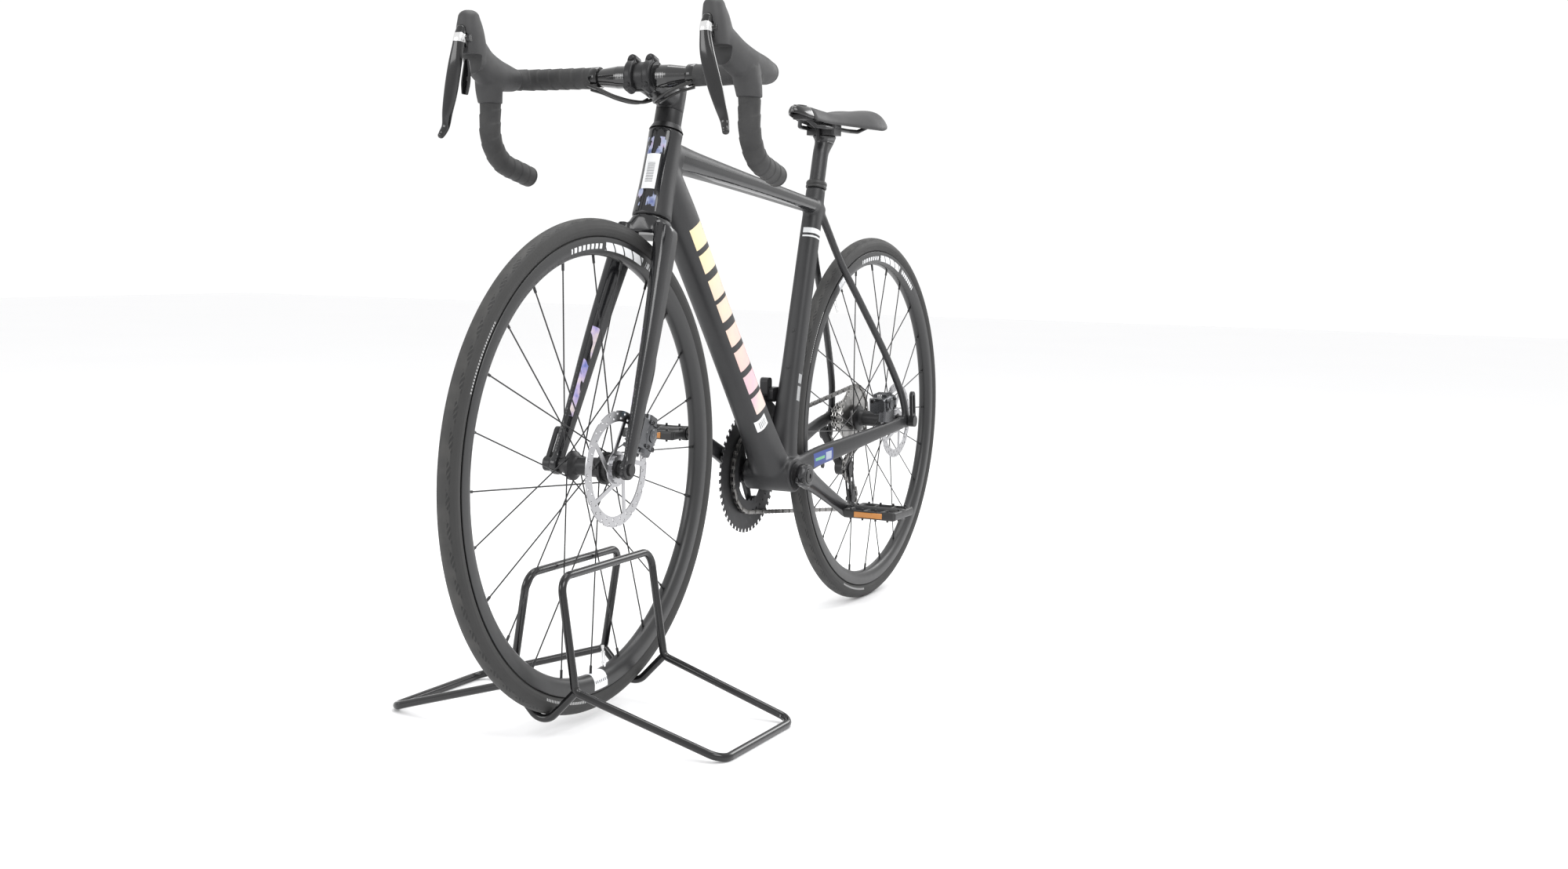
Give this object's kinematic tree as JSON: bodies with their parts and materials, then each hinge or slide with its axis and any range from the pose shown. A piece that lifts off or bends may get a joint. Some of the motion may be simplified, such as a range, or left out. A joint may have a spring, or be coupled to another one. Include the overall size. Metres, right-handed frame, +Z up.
{
  "type": "bicycle on stand",
  "caption": "Road bicycle with drop bar, disc brakes and spoked wheels, its front wheel held in a low floor stand bent from round rod.",
  "frame": {"origin": "on the floor, halfway between the two wheel hubs, in the bicycle's middle plane", "axes": "+X forward towards the front wheel, +Y to the rider's left, +Z up"},
  "size_m": [1.664, 0.535, 0.9689],
  "materials": {
    "stand_sides": "gloss black paint, chipped",
    "stand_cradles": "gloss black paint, chipped",
    "frame": "glossy black-painted carbon composite",
    "fork": "glossy black-painted carbon composite",
    "tyres": "black, finely textured",
    "rims": "black anodised",
    "spokes": "black stainless",
    "hubs": "black anodised",
    "rotors": "steel",
    "valves": "black-plated",
    "bearings": "steel",
    "black_alloy": "satin black anodised",
    "tape": "matte black wrapped tape",
    "plugs": "black",
    "hoods": "dark grey rubber",
    "levers": "glossy black composite",
    "hoses": "black",
    "calipers": "dark grey anodised",
    "bolts": "steel",
    "axles": "black",
    "collar": "black rubber boot",
    "derailleurs": "black and silver",
    "chain": "silver",
    "cogs": "silver steel",
    "rings": "dark grey anodised",
    "pulleys": "black",
    "pedals": "black composite",
    "post": "black carbon composite",
    "rails": "black steel",
    "saddle_cover": "matte dark grey cover",
    "saddle_sockets": "black"
  },
  "bodies": {
    "stand": {"stand_sides": "stand_sides", "stand_cradles": "stand_cradles"},
    "fork": {"fork": "fork", "headset_bearings": "bearings", "headset_spacers": "black_alloy", "stem": "black_alloy", "stem_faceplate": "black_alloy", "stem_bolts": "bolts", "handlebar": "black_alloy", "bar_tape": "tape", "bar_end_plugs": "plugs", "shifters": "hoods", "control_hoses": "hoses", "front_caliper": "calipers", "front_axle": "axles"},
    "frame": {"frame": "frame", "seat_collar": "collar", "bottom_bracket_cups": "black_alloy", "rear_caliper": "calipers", "rear_axle": "axles", "front_derailleur": "derailleurs", "rear_derailleur_body": "derailleurs", "rear_derailleur_cage": "derailleurs", "chain": "chain", "derailleur_cable": "hoses"},
    "front_wheel": {"front_tyre": "tyres", "front_rim": "rims", "front_spokes": "spokes", "front_hub": "hubs", "front_rotor": "rotors", "front_valve": "valves"},
    "rear_wheel": {"rear_tyre": "tyres", "rear_rim": "rims", "rear_spokes": "spokes", "rear_hub": "hubs", "rear_rotor": "rotors", "rear_valve": "valves"},
    "cassette": {"cassette": "cogs", "freehub_body": "bearings"},
    "crank": {"crank_left": "black_alloy", "crank_right": "black_alloy", "crank_bolts": "bolts", "inner_chainring": "rings", "outer_chainring": "rings", "pedal_axles": "bearings"},
    "pedal_left": {"pedal_left": "pedals"},
    "pedal_right": {"pedal_right": "pedals"},
    "guide_pulley": {"guide_pulley": "pulleys"},
    "tension_pulley": {"tension_pulley": "pulleys"},
    "saddle": {"seatpost": "post", "saddle_clamp": "black_alloy", "saddle_rails": "rails", "saddle_cover": "saddle_cover", "saddle_sockets": "saddle_sockets"},
    "brake_lever_left": {"brake_lever_left": "levers"},
    "brake_lever_right": {"brake_lever_right": "levers"},
    "shift_paddle_left": {"shift_paddle_left": "levers"},
    "shift_paddle_right": {"shift_paddle_right": "levers"},
    "front_axle_lever": {"front_axle_lever": "black_alloy"},
    "rear_axle_lever": {"rear_axle_lever": "black_alloy"}
  },
  "joints": [
    {"name": "bike_lift", "type": "slide", "parent": "stand", "child": "fork", "axis": [0, 0, 1], "range_m": [0, 0.3]},
    {"name": "steering", "type": "hinge", "parent": "fork", "child": "frame", "pos_m": [0.33536, 0, 0.69235], "axis": [-0.3007, 0, 0.9537], "range_deg": [-60, 60]},
    {"name": "front_wheel_spin", "type": "hinge", "parent": "fork", "child": "front_wheel", "pos_m": [0.493, 0, 0.352], "axis": [0, 1, 0], "continuous": true},
    {"name": "rear_wheel_spin", "type": "hinge", "parent": "frame", "child": "rear_wheel", "pos_m": [-0.493, 0, 0.339], "axis": [0, 1, 0], "continuous": true},
    {"name": "crank_spin", "type": "hinge", "parent": "frame", "child": "crank", "pos_m": [-0.081, 0, 0.28], "axis": [0, 1, 0], "continuous": true},
    {"name": "pedal_left_spin", "type": "hinge", "parent": "crank", "child": "pedal_left", "pos_m": [-0.23604, 0, 0.20438], "axis": [0, 1, 0], "continuous": true},
    {"name": "pedal_right_spin", "type": "hinge", "parent": "crank", "child": "pedal_right", "pos_m": [0.07404, 0, 0.35562], "axis": [0, 1, 0], "continuous": true},
    {"name": "cassette_spin", "type": "hinge", "parent": "frame", "child": "cassette", "pos_m": [-0.493, 0, 0.339], "axis": [0, 1, 0], "continuous": true},
    {"name": "guide_pulley_spin", "type": "hinge", "parent": "frame", "child": "guide_pulley", "pos_m": [-0.47, 0, 0.246], "axis": [0, 1, 0], "continuous": true},
    {"name": "tension_pulley_spin", "type": "hinge", "parent": "frame", "child": "tension_pulley", "pos_m": [-0.487, 0, 0.187], "axis": [0, 1, 0], "continuous": true},
    {"name": "seatpost_slide", "type": "slide", "parent": "frame", "child": "saddle", "axis": [-0.2605, 0, 0.9655], "range_m": [-0.03, 0.08]},
    {"name": "brake_lever_left_pull", "type": "hinge", "parent": "fork", "child": "brake_lever_left", "pos_m": [0.52453, 0.19, 0.93254], "axis": [0, 1, 0], "range_deg": [0, 18], "stiffness_Nm_per_rad": 1.2},
    {"name": "brake_lever_right_pull", "type": "hinge", "parent": "fork", "child": "brake_lever_right", "pos_m": [0.52453, -0.19, 0.93254], "axis": [0, 1, 0], "range_deg": [0, 18], "stiffness_Nm_per_rad": 1.2},
    {"name": "shift_paddle_left_press", "type": "hinge", "parent": "brake_lever_left", "child": "shift_paddle_left", "pos_m": [0.51804, 0.187, 0.89854], "axis": [-1, 0, 0], "range_deg": [0, 12], "stiffness_Nm_per_rad": 0.3},
    {"name": "shift_paddle_right_press", "type": "hinge", "parent": "brake_lever_right", "child": "shift_paddle_right", "pos_m": [0.51804, -0.187, 0.89854], "axis": [1, 0, 0], "range_deg": [0, 12], "stiffness_Nm_per_rad": 0.3},
    {"name": "front_axle_lever_turn", "type": "hinge", "parent": "fork", "child": "front_axle_lever", "pos_m": [0.493, 0, 0.352], "axis": [0, 1, 0], "continuous": true},
    {"name": "rear_axle_lever_turn", "type": "hinge", "parent": "frame", "child": "rear_axle_lever", "pos_m": [-0.493, 0, 0.339], "axis": [0, 1, 0], "continuous": true}
  ],
  "couplings": [
    {"joint": "cassette_spin", "follows": "crank_spin", "ratio": 1.1333},
    {"joint": "tension_pulley_spin", "follows": "crank_spin", "ratio": 3.0909},
    {"joint": "guide_pulley_spin", "follows": "crank_spin", "ratio": -3.0909}
  ]
}
